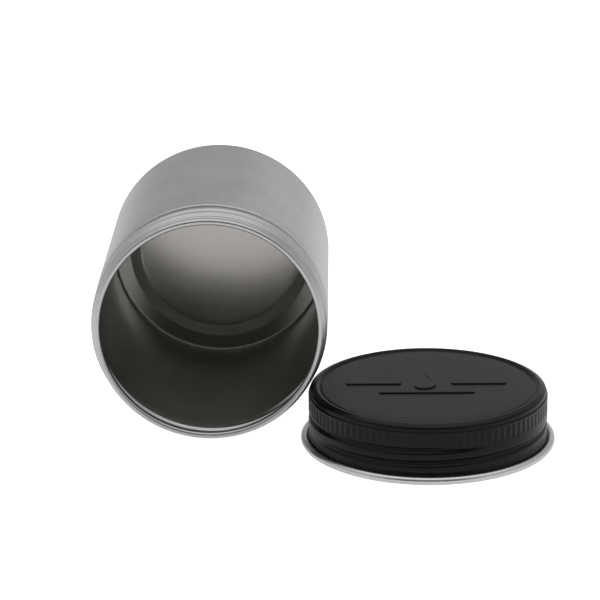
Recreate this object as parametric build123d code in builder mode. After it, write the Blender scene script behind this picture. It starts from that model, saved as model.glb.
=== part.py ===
from build123d import *
import os

# Screw-top aluminium candle tin, empty and open, with its lid laid beside it.
# Millimetres, +Z up. The tin lies on its side with its axis along Y and its mouth towards -Y.
# The lid lies flat on the same surface, top up, beside the mouth. The origin is on that
# surface, under the middle of the pair.

# ---- tin, measured from its axis and from its mouth
BODY_RADIUS = 36.0
TIN_LENGTH = 87.0
TIN_SHEET = 0.4
RIM_OUTER = 35.0
RIM_TUBE = 1.0
RIM_GAP = 0.3
NECK_RADIUS = 34.95
NECK_START = 2.9
NECK_TUCK = 1.1
SHOULDER_START = 14.4
SHOULDER_END = 15.8
HEEL_RADIUS = 1.2
FOOT_INNER = 30.4
BASE_PANEL_RADIUS = 27.4
BASE_PANEL_RISE = 1.5

# ---- lid, measured from its axis and from its open edge
LID_HEIGHT = 18.0
LID_SHEET = 0.25
SKIRT_RADIUS = 36.4
CURL_OUTER = 38.8
CURL_TUBE = 1.22
CURL_GAP = 0.35
FLARE = 0.2
FLARE_TOP = 2.9
FLARE_BOTTOM = 2.3
LEDGE_RADIUS = 36.0
LEDGE_Z = 15.8
LEDGE_SLOPE = 0.15
CORNER_RADIUS = 1.5
SHOULDER_Z = 17.5
TOP_PANEL_Z = 17.6
TOP_BEAD_RADIUS = 32.0
TOP_BEAD_HALF = 1.1
TOP_BEAD_FLAT = 0.2
FLUTES = 100
FLUTE_CUTTER = 1.0
FLUTE_DEPTH = 0.25
KNURL_BOTTOM = 11.5
KNURL_TOP = 15.0
KNURL_BORE = 35.95
THREAD_ZONE = 3.0

# ---- right-handed thread, rolled outwards in the neck and inwards in the lid's skirt
PITCH = 4.1
NECK_CREST = 35.8
NECK_THREAD_TUBE = 1.3
NECK_THREAD_TOP = 4.4
NECK_THREAD_TURN = 540.0
LID_THREAD_ROOT = 35.75
LID_THREAD_TUBE = 1.2
LID_THREAD_START = 200.0
LID_THREAD_START_Z = 5.0
LID_THREAD_TURN = 450.0
END_WALL = 2.0

# ---- seal disc, loose under the lid's panel
LINER_RADIUS = 35.3
LINER_TOP = 16.95
LINER_THICKNESS = 1.4
LINER_EDGE = 1.0

# ---- where the two halves lie
LID_BESIDE = 66.3
LID_BEHIND_MOUTH = 1.8

row_width = BODY_RADIUS + LID_BESIDE + CURL_OUTER
row_depth = CURL_OUTER - LID_BEHIND_MOUTH + TIN_LENGTH
tin_x = BODY_RADIUS - row_width / 2
mouth_y = row_depth / 2 - TIN_LENGTH
lid_x = tin_x + LID_BESIDE
lid_y = mouth_y + LID_BEHIND_MOUTH

# Profile planes: local x is the radius, local y is the depth of the tin or the height of the lid.
tin_profile = Plane(origin=(tin_x, mouth_y, BODY_RADIUS), x_dir=(1, 0, 0), z_dir=(0, 0, 1))
lid_profile = Plane(origin=(lid_x, lid_y, 0), x_dir=(1, 0, 0), z_dir=(0, -1, 0))
tin_axis = Axis((tin_x, mouth_y, BODY_RADIUS), (0, 1, 0))
lid_axis = Axis((lid_x, lid_y, 0), (0, 0, 1))

# Cross planes: local z runs along the axis, into the tin or up the lid.
tin_cross = Plane(origin=(tin_x, mouth_y, BODY_RADIUS), x_dir=(1, 0, 0), z_dir=(0, 1, 0))
lid_cross = Plane(origin=(lid_x, lid_y, 0), x_dir=(1, 0, 0), z_dir=(0, 0, 1))


def thread_bar(cross, reach, tube, start, turn, height):
    """A round bar along a right-handed helix. Angles are in degrees about the cross plane's axis."""
    with BuildPart() as bar:
        with BuildLine(Plane.XY.rotated((0, 0, start)).offset(height)) as path:
            Helix(PITCH, PITCH * turn / 360, reach)
        with BuildSketch(Plane(origin=path.line @ 0, z_dir=path.line % 0)):
            Circle(tube)
        sweep(is_frenet=True)
    return cross.location * bar.part


# ---- tin: one drawn shell with a rolled rim, a threaded neck and a recessed base
rim_centre = RIM_OUTER - RIM_TUBE
rim_sheet = rim_centre - RIM_TUBE + TIN_SHEET
base_panel = TIN_LENGTH - BASE_PANEL_RISE
neck_reach = NECK_CREST - NECK_THREAD_TUBE
neck_bar = thread_bar(tin_cross, neck_reach, NECK_THREAD_TUBE, 0, NECK_THREAD_TURN, NECK_THREAD_TOP)

with BuildPart() as neck_ridge:
    add(neck_bar)
    with BuildSketch(tin_cross):
        Circle(NECK_RADIUS - TIN_SHEET / 2)
    extrude(amount=SHOULDER_START, mode=Mode.SUBTRACT)

with BuildPart() as tin:
    with BuildSketch(tin_profile):
        with BuildLine():
            outside = FilletPolyline(
                (0, base_panel),
                (BASE_PANEL_RADIUS, base_panel),
                (FOOT_INNER, TIN_LENGTH),
                (BODY_RADIUS, TIN_LENGTH),
                (BODY_RADIUS, SHOULDER_END),
                (NECK_RADIUS, SHOULDER_START),
                (NECK_RADIUS, NECK_START),
                (rim_sheet, NECK_START - NECK_TUCK),
                (rim_sheet, RIM_TUBE),
                radius=[1.6, 0.8, HEEL_RADIUS, 0.8, 0.8, 0.8, 0.6],
            )
            offset(outside, amount=TIN_SHEET, side=Side.RIGHT)
        make_face()
    revolve(axis=tin_axis)
    with BuildSketch(tin_profile):
        with Locations((rim_centre, RIM_TUBE)):
            Circle(RIM_TUBE)
            Circle(RIM_TUBE - TIN_SHEET, mode=Mode.SUBTRACT)
        with Locations((rim_centre - RIM_GAP / 3, 2 * RIM_TUBE - TIN_SHEET / 2)):
            Rectangle(RIM_GAP, 1.5 * TIN_SHEET, mode=Mode.SUBTRACT)
    revolve(axis=tin_axis)
    add(neck_ridge.part)

# ---- lid: one drawn shell with a curled edge, a threaded and knurled skirt and a beaded top
curl_centre = CURL_OUTER - CURL_TUBE
lid_reach = LID_THREAD_ROOT + LID_THREAD_TUBE
lid_bump = thread_bar(
    lid_cross, lid_reach, LID_THREAD_TUBE + LID_SHEET, LID_THREAD_START, LID_THREAD_TURN, LID_THREAD_START_Z
)
lid_groove = thread_bar(
    lid_cross,
    lid_reach,
    LID_THREAD_TUBE,
    LID_THREAD_START + END_WALL,
    LID_THREAD_TURN - 2 * END_WALL,
    LID_THREAD_START_Z + PITCH * END_WALL / 360,
)

with BuildPart() as lid:
    with BuildSketch(lid_profile):
        with BuildLine():
            outside = FilletPolyline(
                (0, TOP_PANEL_Z),
                (TOP_BEAD_RADIUS - TOP_BEAD_HALF, TOP_PANEL_Z),
                (TOP_BEAD_RADIUS - TOP_BEAD_FLAT, LID_HEIGHT),
                (TOP_BEAD_RADIUS + TOP_BEAD_FLAT, LID_HEIGHT),
                (TOP_BEAD_RADIUS + TOP_BEAD_HALF, SHOULDER_Z),
                (LEDGE_RADIUS, SHOULDER_Z),
                (LEDGE_RADIUS, LEDGE_Z),
                (SKIRT_RADIUS, LEDGE_Z - LEDGE_SLOPE),
                (SKIRT_RADIUS, FLARE_TOP),
                (SKIRT_RADIUS + FLARE, FLARE_BOTTOM),
                (SKIRT_RADIUS + FLARE, CURL_TUBE),
                radius=[0.5, 0.3, 0.3, 0.5, CORNER_RADIUS, 0.1, 0.12, 0.5, 0.5],
            )
            offset(outside, amount=LID_SHEET, side=Side.RIGHT)
        make_face()
    revolve(axis=lid_axis)
    with BuildSketch(lid_profile):
        with Locations((curl_centre, CURL_TUBE)):
            Circle(CURL_TUBE)
            Circle(CURL_TUBE - LID_SHEET, mode=Mode.SUBTRACT)
        with Locations((SKIRT_RADIUS + FLARE + CURL_GAP, 2 * CURL_TUBE - LID_SHEET)):
            Rectangle(CURL_GAP, 3 * LID_SHEET, mode=Mode.SUBTRACT)
    revolve(axis=lid_axis)
    add(lid_bump)
    with BuildSketch(lid_cross.offset(THREAD_ZONE)):
        Circle(CURL_OUTER + LID_THREAD_TUBE)
        Circle(SKIRT_RADIUS, mode=Mode.SUBTRACT)
    extrude(amount=LEDGE_Z - THREAD_ZONE, mode=Mode.SUBTRACT)
    add(lid_groove, mode=Mode.SUBTRACT)
    with BuildSketch(lid_cross.offset(KNURL_BOTTOM)):
        Circle(SKIRT_RADIUS - LID_SHEET / 2)
        Circle(KNURL_BORE, mode=Mode.SUBTRACT)
    extrude(amount=KNURL_TOP - KNURL_BOTTOM)
    with BuildSketch(lid_cross.offset(KNURL_BOTTOM)):
        with PolarLocations(SKIRT_RADIUS - FLUTE_DEPTH + FLUTE_CUTTER, FLUTES):
            Circle(FLUTE_CUTTER)
    extrude(amount=KNURL_TOP - KNURL_BOTTOM, mode=Mode.SUBTRACT)

# ---- liner: a foam disc that the rim presses against the lid's panel
with BuildPart() as liner:
    with BuildSketch(lid_cross.offset(LINER_TOP - LINER_THICKNESS)):
        Circle(LINER_RADIUS)
    extrude(amount=LINER_THICKNESS)
    chamfer(liner.faces().sort_by(Axis.Z)[-1].edges(), LINER_EDGE)

# ---- the separate pieces
os.makedirs("parts", exist_ok=True)
tin.part.label = "tin_body"
lid.part.label = "lid_shell"
liner.part.label = "seal_liner"
for piece in (tin.part, lid.part, liner.part):
    export_step(piece, f"parts/{piece.label}.step")
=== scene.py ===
import math

import bmesh
import bpy
from mathutils import Matrix, Vector


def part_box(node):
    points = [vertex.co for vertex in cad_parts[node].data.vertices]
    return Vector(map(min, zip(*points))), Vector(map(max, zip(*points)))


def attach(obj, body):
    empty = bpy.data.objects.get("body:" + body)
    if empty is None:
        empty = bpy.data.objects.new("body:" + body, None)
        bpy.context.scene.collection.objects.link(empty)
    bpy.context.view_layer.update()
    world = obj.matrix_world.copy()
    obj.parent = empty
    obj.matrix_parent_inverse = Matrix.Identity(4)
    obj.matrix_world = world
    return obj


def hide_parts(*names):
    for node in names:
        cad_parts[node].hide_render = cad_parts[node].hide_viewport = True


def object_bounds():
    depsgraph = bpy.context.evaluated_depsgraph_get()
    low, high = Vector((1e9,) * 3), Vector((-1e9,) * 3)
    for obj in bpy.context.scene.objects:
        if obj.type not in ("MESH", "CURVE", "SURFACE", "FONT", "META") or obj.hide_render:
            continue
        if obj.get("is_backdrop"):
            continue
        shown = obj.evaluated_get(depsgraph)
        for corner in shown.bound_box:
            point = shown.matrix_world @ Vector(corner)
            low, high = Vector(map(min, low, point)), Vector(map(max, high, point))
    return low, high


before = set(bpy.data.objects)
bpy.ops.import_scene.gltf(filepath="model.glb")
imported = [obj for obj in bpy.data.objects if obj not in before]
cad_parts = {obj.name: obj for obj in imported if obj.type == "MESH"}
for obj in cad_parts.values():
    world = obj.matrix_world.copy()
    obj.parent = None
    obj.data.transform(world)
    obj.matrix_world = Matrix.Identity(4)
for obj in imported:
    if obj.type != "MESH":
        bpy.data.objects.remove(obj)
cad_low, cad_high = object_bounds()

MM = 0.001

# ---------------------------------------------------------------- where things are
tin_low, tin_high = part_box("tin_body")
lid_low, lid_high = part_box("lid_shell")
TIN_R = (tin_high.x - tin_low.x) / 2 / MM
TIN_LENGTH = (tin_high.y - tin_low.y) / MM
MOUTH = Vector(((tin_low.x + tin_high.x) / 2, tin_low.y, (tin_low.z + tin_high.z) / 2))
LID_AT = Vector(((lid_low.x + lid_high.x) / 2, (lid_low.y + lid_high.y) / 2, lid_low.z))


def in_tin(radius, angle, depth):
    """Radius and depth in millimetres; the angle starts at the top and goes towards +X."""
    return MOUTH + MM * Vector((radius * math.sin(angle), depth, radius * math.cos(angle)))


def in_lid(radius, angle, height):
    """Radius and height in millimetres; the angle starts at +X and goes towards +Y."""
    return LID_AT + MM * Vector((radius * math.cos(angle), radius * math.sin(angle), height))


# ---------------------------------------------------------------- outlines and lathe work
def smooth(share):
    """An S-curve from 0 to 1, level at both ends."""
    share = min(1.0, max(0.0, share))
    return share * share * (3 - 2 * share)


ARC_STEP = 0.12
FINE_ARC_STEP = 0.1
CURL_STEPS = 30


def rounded(corners, arc_step=ARC_STEP):
    """A dense path through (radius, along, corner radius, longest step after it) corners."""
    points = [Vector(corners[0][:2])]

    def line_to(goal, step):
        start = points[-1]
        count = max(1, math.ceil((goal - start).length / step))
        for i in range(1, count + 1):
            points.append(start.lerp(goal, i / count))

    for before, here, after in zip(corners, corners[1:], corners[2:]):
        at = Vector(here[:2])
        way_in = (at - Vector(before[:2])).normalized()
        way_out = (Vector(after[:2]) - at).normalized()
        turn = way_in.angle_signed(way_out)
        if abs(turn) < 1e-4:
            line_to(at, before[3])
            continue
        reach = here[2] * math.tan(abs(turn) / 2)
        line_to(at - way_in * reach, before[3])
        side = 1 if turn > 0 else -1
        centre = points[-1] + Vector((way_in.y, -way_in.x)) * here[2] * side
        spoke = points[-1] - centre
        count = max(3, math.ceil(here[2] * abs(turn) / arc_step))
        for i in range(1, count + 1):
            part = -turn * i / count
            points.append(centre + Matrix.Rotation(part, 2) @ spoke)
    line_to(Vector(corners[-1][:2]), corners[-2][3])
    return points


def curl(points, tube, sweep):
    """Goes on from the path's end, turning left round an arc of the given radius and angle."""
    way = (points[-1] - points[-2]).normalized()
    centre = points[-1] + Vector((-way.y, way.x)) * tube
    spoke = points[-1] - centre
    arc = []
    for i in range(1, CURL_STEPS + 1):
        arc.append(centre + Matrix.Rotation(sweep * i / CURL_STEPS, 2) @ spoke)
    return points + arc


def sheet_outline(middle, thickness):
    """The outer and the inner side of a sheet, as two paths beside its middle line."""
    outer, inner = [], []
    for i, point in enumerate(middle):
        ahead = middle[min(i + 1, len(middle) - 1)]
        behind = middle[max(i - 1, 0)]
        way = (ahead - behind).normalized()
        across = Vector((-way.y, way.x)) * thickness / 2
        if i == 0:
            across = Vector((0, math.copysign(thickness / 2, across.y)))
        outer.append(point + across)
        inner.append(point - across)
    return outer, inner


def mesh_object(name, vertices, faces, materials, indices, soft=True):
    """indices gives each face's material; soft shades the faces smoothly."""
    mesh = bpy.data.meshes.new(name)
    mesh.from_pydata(vertices, [], faces)
    for material in materials:
        mesh.materials.append(material)
    mesh.polygons.foreach_set("material_index", indices)
    mesh.polygons.foreach_set("use_smooth", [soft] * len(faces))
    work = bmesh.new()
    work.from_mesh(mesh)
    bmesh.ops.recalc_face_normals(work, faces=work.faces)
    work.to_mesh(mesh)
    work.free()
    thing = bpy.data.objects.new(name, mesh)
    bpy.context.scene.collection.objects.link(thing)
    return thing


def lathe(name, outline, segments, place, shape, materials, paint):
    """Turns an outline that starts and ends on the axis. shape(radius, angle, along) gives the
    true radius; paint(row) gives the material's number for the band after that outline point."""
    vertices = [place(0, 0, outline[0].y)]
    rings = []
    for point in outline[1:-1]:
        rings.append(len(vertices))
        for k in range(segments):
            angle = 2 * math.pi * k / segments
            vertices.append(place(shape(point.x, angle, point.y), angle, point.y))
    last = len(vertices)
    vertices.append(place(0, 0, outline[-1].y))
    faces, indices = [], []
    for k in range(segments):
        after = (k + 1) % segments
        faces.append((0, rings[0] + k, rings[0] + after))
        indices.append(paint(0))
        for row, (a, b) in enumerate(zip(rings, rings[1:]), start=1):
            faces.append((a + k, b + k, b + after, a + after))
            indices.append(paint(row))
        faces.append((rings[-1] + k, last, rings[-1] + after))
        indices.append(paint(len(rings)))
    return mesh_object(name, vertices, faces, materials, indices)


# ---------------------------------------------------------------- materials
def new_material(name):
    material = bpy.data.materials.new(name)
    material.use_nodes = True
    return material, material.node_tree, material.node_tree.nodes["Principled BSDF"]


def node(tree, kind, inputs=None, **settings):
    made = tree.nodes.new(kind)
    for key, value in settings.items():
        setattr(made, key, value)
    for key, value in (inputs or {}).items():
        if isinstance(value, bpy.types.NodeSocket):
            tree.links.new(value, made.inputs[key])
        else:
            made.inputs[key].default_value = value
    return made


def ramp(tree, factor, stops):
    made = node(tree, "ShaderNodeValToRGB", {"Fac": factor})
    band = made.color_ramp
    while len(band.elements) < len(stops):
        band.elements.new(0.5)
    for element, (where, colour) in zip(band.elements, stops):
        element.position = where
        element.color = (*colour, 1)
    return made.outputs["Color"]


def noise(tree, scale, stretch=(1, 1, 1), detail=4.0, roughness=0.55):
    """Noise over the object's own coordinates, in metres; a small stretch draws it out that way."""
    where = node(tree, "ShaderNodeTexCoord").outputs["Object"]
    spread = node(tree, "ShaderNodeMapping", {"Vector": where, "Scale": stretch})
    made = node(
        tree,
        "ShaderNodeTexNoise",
        {"Vector": spread.outputs["Vector"], "Scale": scale, "Detail": detail, "Roughness": roughness},
    )
    return made.outputs["Fac"]


def map_range(tree, value, start, end, low, high, **settings):
    inputs = {"Value": value, "From Min": start, "From Max": end, "To Min": low, "To Max": high}
    return node(tree, "ShaderNodeMapRange", inputs, **settings).outputs["Result"]


NOISE_LOW = 0.3
NOISE_HIGH = 0.7


def span(tree, value, low, high):
    """Spreads a noise, most of which lies between NOISE_LOW and NOISE_HIGH, from low to high."""
    return map_range(tree, value, NOISE_LOW, NOISE_HIGH, low, high)


def finish_surface(tree, shader, colour, roughness, height, bump, depth):
    """Joins up the colour, the roughness and a bump whose depth is in millimetres."""
    tree.links.new(colour, shader.inputs["Base Color"])
    tree.links.new(roughness, shader.inputs["Roughness"])
    relief = node(tree, "ShaderNodeBump", {"Height": height, "Strength": bump, "Distance": depth * MM})
    tree.links.new(relief.outputs["Normal"], shader.inputs["Normal"])


STREAK_SHARE = 0.65
METAL_BUMP_DEPTH = 0.02
LACQUER_BUMP_DEPTH = 0.03
FOAM_BUMP_DEPTH = 0.1


def metal(name, dark, light, rough, grain_scale, stretch, bump):
    """Drawn aluminium: fine streaks along the way it was drawn, and soft blotches."""
    material, tree, shader = new_material(name)
    streaks = noise(tree, grain_scale, stretch, 6.0, 0.7)
    clouds = noise(tree, 60.0, detail=3.0)
    sources = {"Factor": 1 - STREAK_SHARE, "A": streaks, "B": clouds}
    mixed = node(tree, "ShaderNodeMix", sources, data_type="FLOAT").outputs["Result"]
    colour = ramp(tree, mixed, [(NOISE_LOW, dark), (NOISE_HIGH, light)])
    finish_surface(tree, shader, colour, span(tree, mixed, *rough), streaks, bump, METAL_BUMP_DEPTH)
    shader.inputs["Metallic"].default_value = 1.0
    return material


def lacquer(name):
    """Matte black lacquer: soft light and dark patches, and a faint orange peel."""
    material, tree, shader = new_material(name)
    peel = noise(tree, 1800.0, detail=2.0)
    clouds = noise(tree, 90.0)
    stops = [(NOISE_LOW, (0.0022, 0.0022, 0.0024)), (NOISE_HIGH, (0.0034, 0.0034, 0.0037))]
    colour = ramp(tree, clouds, stops)
    finish_surface(tree, shader, colour, span(tree, clouds, 0.27, 0.33), peel, 0.25, LACQUER_BUMP_DEPTH)
    shader.inputs["Specular IOR Level"].default_value = 0.21
    return material


def foam(name):
    """Fine closed cells, lighter in the middle of each, with soft blotches of gloss."""
    material, tree, shader = new_material(name)
    where = node(tree, "ShaderNodeTexCoord").outputs["Object"]
    cells = node(tree, "ShaderNodeTexVoronoi", {"Vector": where, "Scale": 2200.0}).outputs["Distance"]
    colour = ramp(tree, cells, [(0.1, (0.82, 0.82, 0.80)), (0.8, (0.66, 0.66, 0.64))])
    roughness = span(tree, noise(tree, 150.0), 0.7, 0.9)
    finish_surface(tree, shader, colour, roughness, cells, 0.5, FOAM_BUMP_DEPTH)
    return material


EVEN_GRAIN = (1, 1, 1)
ALONG_TIN = (1, 0.06, 1)
ALONG_TIN_INSIDE = (1, 0.05, 1)
ACROSS_BASE = (0.3, 1, 1)
ALONG_LID = (1, 1, 0.1)

outside_metal = metal(
    "tin_outside", (0.50, 0.495, 0.49), (0.66, 0.655, 0.65), (0.36, 0.44), 2600.0, ALONG_TIN, 0.25
)
# Painted shade: the tin's inside wall is the same aluminium as its outside, coloured darker to stand in for
# the shade inside the tin.
inside_metal_painted_shade = metal(
    "tin_inside_painted_shade", (0.45, 0.45, 0.42), (0.51, 0.51, 0.475), (0.3, 0.36), 1800.0, ALONG_TIN_INSIDE, 0.04
)
base_metal = metal(
    "tin_base_inside", (0.46, 0.445, 0.425), (0.51, 0.49, 0.47), (0.16, 0.20), 900.0, ACROSS_BASE, 0.04
)
rim_metal = metal(
    "tin_rim", (0.52, 0.515, 0.515), (0.64, 0.635, 0.635), (0.30, 0.38), 1500.0, EVEN_GRAIN, 0.1
)
curl_metal = metal(
    "lid_curl", (0.60, 0.60, 0.60), (0.76, 0.76, 0.77), (0.24, 0.34), 1500.0, EVEN_GRAIN, 0.2
)
lid_inside_metal = metal(
    "lid_inside", (0.52, 0.515, 0.51), (0.66, 0.655, 0.65), (0.32, 0.42), 1500.0, ALONG_LID, 0.2
)
black = lacquer("lid_lacquer")
foam_material = foam("liner_foam")

# ---------------------------------------------------------------- tin
# Millimetres: radii from the tin's axis, depths from its mouth.
TIN_SEGMENTS = 400
TIN_SHEET = 0.4
HEEL_ROUND = 1.1
FOOT_R = 30.4
BASE_PANEL_R = 26.6
BASE_RISE = 1.5
BASE_DISH = 0.5
BASE_DISH_R = 26
WALL_LINE_DEPTH = 0.12
SHOULDER_WIDE = 13.2
SHOULDER_NARROW = 12.75
NECK_R = 35.05
NECK_END = 2.65
RIM_STEP_R = 34.2
RIM_R = 33.2
RIM_START = 1.0
RIM_TUBE = 0.8
RIM_SWEEP = math.radians(285)
RIM_PAINT_END = 2.6
MOUTH_PAINT_END = 13.5
BASE_PAINT_DEPTH = 3
BASE_PAINT_INSET = 1.0

# ---- the neck's rolled thread
PITCH = 4.1
THREAD_START = 5.4
THREAD_LEAD = math.radians(150)
THREAD_TURN = math.radians(690)
THREAD_FADE = math.radians(50)
THREAD_HALF = 1.75
THREAD_FLANK = 1.1
THREAD_RIDGE = 0.86
THREAD_ZONE_R = 34.0
THREAD_ZONE_LOW = 2.0
THREAD_ZONE_HIGH = 13.0


def neck_thread(radius, angle, depth):
    """The radius with the rolled thread on it, which rises and fades out at its ends."""
    if radius < THREAD_ZONE_R or not THREAD_ZONE_LOW < depth < THREAD_ZONE_HIGH:
        return radius
    turned = (angle + THREAD_LEAD) % (2 * math.pi)
    ridge = 0.0
    while turned < THREAD_TURN:
        away = abs(depth - THREAD_START - PITCH * (turned - THREAD_LEAD) / (2 * math.pi))
        fade = smooth(min(turned, THREAD_TURN - turned) / THREAD_FADE)
        ridge = max(ridge, THREAD_RIDGE * fade * smooth((THREAD_HALF - away) / THREAD_FLANK))
        turned += 2 * math.pi
    return radius + ridge


def make_tin():
    half = TIN_SHEET / 2
    wall = TIN_R - half
    neck = NECK_R - half
    base = TIN_LENGTH - half
    middle = rounded(
        [
            (0, base - BASE_RISE, 0, 1.0),
            (BASE_PANEL_R, base - BASE_RISE, 2.0, 1.0),
            (FOOT_R, base, 0.7, 1.0),
            (wall, base, HEEL_ROUND, 3.0),
            (wall, 17.4, 0.5, 0.3),
            (wall - WALL_LINE_DEPTH, 16.8, 0.25, 0.3),
            (wall, 16.2, 0.5, 0.3),
            (wall, SHOULDER_WIDE, 0.4, 0.15),
            (neck, SHOULDER_NARROW, 0.35, 0.15),
            (neck, NECK_END, 0.3, 0.12),
            (RIM_STEP_R - half, 2.2, 0.2, 0.12),
            (RIM_R, 1.9, 0.2, 0.12),
            (RIM_R, RIM_START, 0, 0.12),
        ],
        arc_step=FINE_ARC_STEP,
    )
    for point in middle:
        if point.x < BASE_DISH_R:
            point.y += BASE_DISH * (1 - (point.x / BASE_DISH_R) ** 2)
    middle = curl(middle, RIM_TUBE, RIM_SWEEP)
    outer, inner = sheet_outline(middle, TIN_SHEET)
    outline = outer + inner[::-1]
    materials = [outside_metal, rim_metal, inside_metal_painted_shade, base_metal]

    def paint(row):
        point = outline[row]
        if row < len(outer):
            used = rim_metal if point.y < RIM_PAINT_END else outside_metal
        elif point.y < MOUTH_PAINT_END:
            used = rim_metal
        elif point.y > base - BASE_PAINT_DEPTH and point.x < wall - BASE_PAINT_INSET:
            used = base_metal
        else:
            # the inside wall past the neck takes the darker aluminium, which is painted shade
            used = inside_metal_painted_shade
        return materials.index(used)

    return lathe("tin_skin", outline, TIN_SEGMENTS, in_tin, neck_thread, materials, paint)


# ---------------------------------------------------------------- lid
# Millimetres: radii from the lid's axis, heights from its open edge.
LID_SEGMENTS = 800
LID_SHEET = 0.25
PANEL_Z = 17.35
PANEL_R = 32.2
TRENCH_DEPTH = 0.3
RING_Z = 17.8
LEDGE_R = 36.0
SKIRT_R = 36.4
FLARE = 0.2
CURL_TUBE = 1.22
CURL_SWEEP = math.radians(318)
CURL_PAINT_END = 2.6
CURL_PAINT_R = 36.3

# ---- the skirt's flutes and rolled thread
FLUTES = 100
FLUTE_DEPTH = 0.2
FLUTE_SHARPNESS = 0.8
KNURL_LOW = 10.75
KNURL_LOW_FADE = 0.5
KNURL_HIGH = 15.2
KNURL_HIGH_FADE = 0.4
GROOVE_DEPTH = 0.8
GROOVE_HALF = 1.3
GROOVE_START = math.radians(190)
GROOVE_START_Z = 5.1
GROOVE_TURN = math.radians(480)
GROOVE_FADE = math.radians(45)
GROOVE_LAPS = math.ceil(GROOVE_TURN / (2 * math.pi))
SKIRT_ZONE_R = 35.5
SKIRT_ZONE_LOW = 3.0
SKIRT_ZONE_HIGH = 15.4


def groove(angle, height):
    """How far the rolled thread goes in at this place on the skirt."""
    depth = 0.0
    for lap in range(GROOVE_LAPS):
        turned = (angle - GROOVE_START) % (2 * math.pi) + 2 * math.pi * lap
        if turned > GROOVE_TURN:
            continue
        away = abs(height - GROOVE_START_Z - PITCH * turned / (2 * math.pi)) / GROOVE_HALF
        if away < 1:
            fade = smooth(min(turned, GROOVE_TURN - turned) / GROOVE_FADE)
            depth = max(depth, GROOVE_DEPTH * fade * (0.5 + 0.5 * math.cos(math.pi * away)))
    return depth


def skirt_relief(radius, angle, height):
    """The radius with the flutes and the rolled thread taken off it."""
    if radius < SKIRT_ZONE_R or not SKIRT_ZONE_LOW < height < SKIRT_ZONE_HIGH:
        return radius
    window = smooth((height - KNURL_LOW) / KNURL_LOW_FADE) * smooth((KNURL_HIGH - height) / KNURL_HIGH_FADE)
    flute = FLUTE_DEPTH * window * (0.5 - 0.5 * math.cos(FLUTES * angle)) ** FLUTE_SHARPNESS
    return radius - flute - groove(angle, height)


def make_lid():
    half = LID_SHEET / 2
    skirt = SKIRT_R - half
    panel = PANEL_Z - half
    middle = rounded(
        [
            (0, panel, 0, 8),
            (PANEL_R, panel, 0.3, 0.15),
            (32.9, PANEL_Z - TRENCH_DEPTH - half, 0.3, 0.12),
            (33.6, 17.75 - half, 0.3, 0.12),
            (34.2, RING_Z - half, 0.3, 0.12),
            (35.97 - half, 17.15 - half, 1.0, 0.1),
            (LEDGE_R - half, 15.95 - half, 0.3, 0.1),
            (LEDGE_R - half, 15.75 - half, 0.12, 0.1),
            (skirt, 15.6 - half, 0.15, 0.3),
            (skirt, 3.2, 0.6, 0.2),
            (skirt + FLARE, 2.5, 0.6, 0.2),
            (skirt + FLARE, CURL_TUBE, 0, 0.2),
        ],
        arc_step=FINE_ARC_STEP,
    )
    middle = curl(middle, CURL_TUBE - half, CURL_SWEEP)
    outer, inner = sheet_outline(middle, LID_SHEET)
    outline = outer + inner[::-1]
    materials = [black, curl_metal, lid_inside_metal]

    def paint(row):
        point = outline[row]
        if row < len(outer):
            used = black
        elif point.y < CURL_PAINT_END and point.x > CURL_PAINT_R:
            used = curl_metal
        else:
            used = lid_inside_metal
        return materials.index(used)

    return lathe("lid_skin", outline, LID_SEGMENTS, in_lid, skirt_relief, materials, paint)


# ---- the plain mark on the lid's panel
MOTIF_X = -0.5
MOTIF_Y = 3.0
MOTIF_FOOT = -0.15
MOTIF_RISE = 0.4
MOTIF_EDGE = 0.2
FLAME_POINTS = 48
FLAME_HALF_HEIGHT = 6.2
FLAME_HALF_WIDTH = 4.6
FLAME_LEAN = 0.9
BAR_END_POINTS = 9
BAR_ASIDE = 16
BAR_DROP = 1
BAR_LENGTH = 17
BAR_WIDTH = 1.8
LINE_DROP = 9.5
LINE_LENGTH = 29
LINE_WIDTH = 0.7


def make_motif():
    """A plain flame with a bar on each side and a thin line below, raised from the lid's panel."""
    vertices, faces = [], []
    sides = (
        (0, PANEL_Z + MOTIF_FOOT),
        (0, PANEL_Z + MOTIF_RISE - MOTIF_EDGE),
        (MOTIF_EDGE, PANEL_Z + MOTIF_RISE),
    )

    def raise_up(outline):
        count = len(outline)
        rings = []
        for inset, height in sides:
            ring = []
            for i, point in enumerate(outline):
                way = (outline[(i + 1) % count] - outline[i - 1]).normalized()
                moved = point + Vector((-way.y, way.x)) * inset
                ring.append(len(vertices))
                vertices.append(LID_AT + MM * Vector((moved.x, moved.y, height)))
            rings.append(ring)
        for lower, upper in zip(rings, rings[1:]):
            for i in range(count):
                after = (i + 1) % count
                faces.append((lower[i], lower[after], upper[after], upper[i]))
        faces.append(tuple(reversed(rings[0])))
        faces.append(tuple(rings[-1]))

    def bar(x, y, length, width):
        outline = []
        for end in (1, -1):
            for i in range(BAR_END_POINTS):
                turn = math.pi * (i / (BAR_END_POINTS - 1) - 0.5)
                out = Vector((math.cos(turn), math.sin(turn))) * width / 2 * end
                outline.append(Vector((x + end * (length - width) / 2, y)) + out)
        return outline

    flame = []
    for i in range(FLAME_POINTS):
        turn = 2 * math.pi * i / FLAME_POINTS
        lean = FLAME_LEAN * math.sin(turn / 2) ** 6
        width = FLAME_HALF_WIDTH * math.sin(turn) * math.sin(turn / 2) ** 1.2
        flame.append(Vector((MOTIF_X - width - lean, MOTIF_Y + FLAME_HALF_HEIGHT * math.cos(turn))))
    raise_up(flame)
    for aside in (-BAR_ASIDE, BAR_ASIDE):
        raise_up(bar(MOTIF_X + aside, MOTIF_Y - BAR_DROP, BAR_LENGTH, BAR_WIDTH))
    raise_up(bar(MOTIF_X, MOTIF_Y - LINE_DROP, LINE_LENGTH, LINE_WIDTH))
    return mesh_object("lid_motif", vertices, faces, [black], [0] * len(faces), soft=False)


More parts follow.
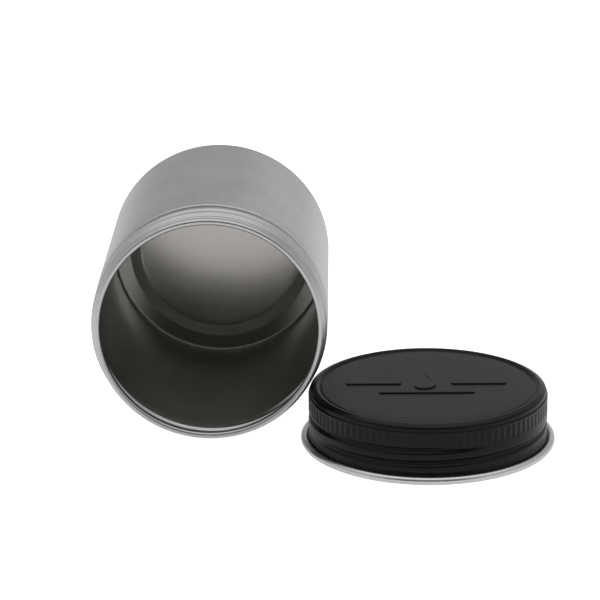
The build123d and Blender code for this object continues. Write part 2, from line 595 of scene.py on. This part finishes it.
# ---------------------------------------------------------------- liner
LINER_SEGMENTS = 256
LINER_CLEARANCE = 0.3
LINER_DENT = 0.12
LINER_CHAMFER = 0.9


def make_liner():
    """A foam disc, dented by the rim in a ring near its edge and chamfered on top."""
    low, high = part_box("seal_liner")
    radius = (high.x - low.x) / 2 / MM
    bottom = (low.z - LID_AT.z) / MM
    top = (high.z - LID_AT.z) / MM - LINER_CLEARANCE
    outline = rounded(
        [
            (0, bottom, 0, 4),
            (33.1, bottom, 0.4, 0.3),
            (33.7, bottom + LINER_DENT, 0.4, 0.3),
            (34.6, bottom + LINER_DENT, 0.4, 0.3),
            (35.0, bottom, 0.3, 0.3),
            (radius, bottom, 0.25, 0.2),
            (radius, top - LINER_CHAMFER, 0.3, 0.2),
            (radius - LINER_CHAMFER, top, 0.3, 0.3),
            (0, top, 0, 4),
        ]
    )
    materials = [foam_material]
    return lathe("liner_disc", outline, LINER_SEGMENTS, in_lid, lambda r, a, h: r, materials, lambda row: 0)


# ---------------------------------------------------------------- the pieces
tin = make_tin()
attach(tin, "tin")
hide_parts("tin_body")

lid = make_lid()
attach(lid, "lid")
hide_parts("lid_shell")

motif = make_motif()
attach(motif, "lid")

liner = make_liner()
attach(liner, "liner")
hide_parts("seal_liner")


# ---------------------------------------------------------------- floor, light and camera
FLOOR_HALF = 4.0
FLOOR_LIT = 0.3
FLOOR_SEEN = 0.9
PATCH_WAY = (0.262, 0.952, 0.161)
LENS = 153.57
CAMERA_DOWN = math.radians(17.783)
CAMERA_TURN = math.radians(1.01)
CAMERA_ROLL = math.radians(0.687)
CAMERA_FROM_MOUTH = Vector((40.63, -732.8, 280.66))


def make_floor():
    """A white floor that glows more towards the camera than onto the pieces."""
    mesh = bpy.data.meshes.new("floor")
    signs = ((-1, -1), (1, -1), (1, 1), (-1, 1))
    mesh.from_pydata([(x * FLOOR_HALF, y * FLOOR_HALF, 0) for x, y in signs], [], [(0, 1, 2, 3)])
    material, tree, shader = new_material("floor_white")
    shader.inputs["Base Color"].default_value = (0.9, 0.9, 0.9, 1)
    shader.inputs["Roughness"].default_value = 0.9
    shader.inputs["Emission Color"].default_value = (1, 1, 1, 1)
    camera_ray = node(tree, "ShaderNodeLightPath").outputs["Is Camera Ray"]
    strength = map_range(tree, camera_ray, 0.0, 1.0, FLOOR_LIT, FLOOR_SEEN)
    tree.links.new(strength, shader.inputs["Emission Strength"])
    mesh.materials.append(material)
    floor = bpy.data.objects.new("floor", mesh)
    bpy.context.scene.collection.objects.link(floor)
    floor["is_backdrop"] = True


def make_world():
    """White to the camera. To everything else, a soft studio that is dark behind the camera."""
    world = bpy.data.worlds.new("studio")
    bpy.context.scene.world = world
    world.use_nodes = True
    tree = world.node_tree
    tree.nodes.clear()
    way = node(tree, "ShaderNodeTexCoord").outputs["Generated"]
    parts = node(tree, "ShaderNodeSeparateXYZ", {"Vector": way})

    def glow(value, start, end, low, high):
        return map_range(tree, value, start, end, low, high, interpolation_type="SMOOTHSTEP")

    def total(*values):
        result = values[0]
        for value in values[1:]:
            result = node(tree, "ShaderNodeMath", {0: result, 1: value}, operation="ADD").outputs[0]
        return result

    aside = node(tree, "ShaderNodeMath", {0: parts.outputs["X"]}, operation="ABSOLUTE").outputs[0]
    patch = node(tree, "ShaderNodeVectorMath", {0: way, 1: PATCH_WAY}, operation="DOT_PRODUCT")
    # All round but behind the camera, then overhead, both sides, and a small patch behind the tin.
    studio = total(
        glow(parts.outputs["Y"], -0.88, -0.55, 0.04, 0.42),
        glow(parts.outputs["Z"], 0.62, 0.9, 0.0, 0.6),
        glow(aside, 0.4, 0.9, 0.0, 0.1),
        glow(patch.outputs["Value"], 0.975, 0.9986, 0.0, 0.3),
    )
    lit = node(tree, "ShaderNodeBackground", {"Strength": studio})
    seen = node(tree, "ShaderNodeBackground", {"Strength": 1.0})
    for background in (lit, seen):
        background.inputs["Color"].default_value = (1, 1, 1, 1)
    camera_ray = node(tree, "ShaderNodeLightPath").outputs["Is Camera Ray"]
    mixed = node(tree, "ShaderNodeMixShader", {0: camera_ray, 1: lit.outputs[0], 2: seen.outputs[0]})
    node(tree, "ShaderNodeOutputWorld", {"Surface": mixed.outputs[0]})


def make_camera():
    """The camera that was fitted to the photograph's outlines."""
    data = bpy.data.cameras.new("camera")
    data.sensor_width = 36
    data.lens = LENS
    data.clip_end = 20
    camera = bpy.data.objects.new("camera", data)
    bpy.context.scene.collection.objects.link(camera)
    bpy.context.scene.camera = camera
    flat = math.cos(CAMERA_DOWN)
    ahead = Vector((-math.sin(CAMERA_TURN) * flat, math.cos(CAMERA_TURN) * flat, -math.sin(CAMERA_DOWN)))
    level = ahead.cross(Vector((0, 0, 1))).normalized()
    upright = level.cross(ahead)
    right = level * math.cos(CAMERA_ROLL) - upright * math.sin(CAMERA_ROLL)
    up = upright * math.cos(CAMERA_ROLL) + level * math.sin(CAMERA_ROLL)
    turned = Matrix((right, up, -ahead)).transposed().to_4x4()
    place = Vector((MOUTH.x, MOUTH.y, 0)) + MM * CAMERA_FROM_MOUTH
    camera.matrix_world = Matrix.Translation(place) @ turned


make_floor()
make_world()
make_camera()
bpy.context.scene.view_settings.view_transform = "Standard"

boxes = {"cad": (cad_low, cad_high), "visual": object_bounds()}
{name: [list(corner) for corner in box] for name, box in boxes.items()}
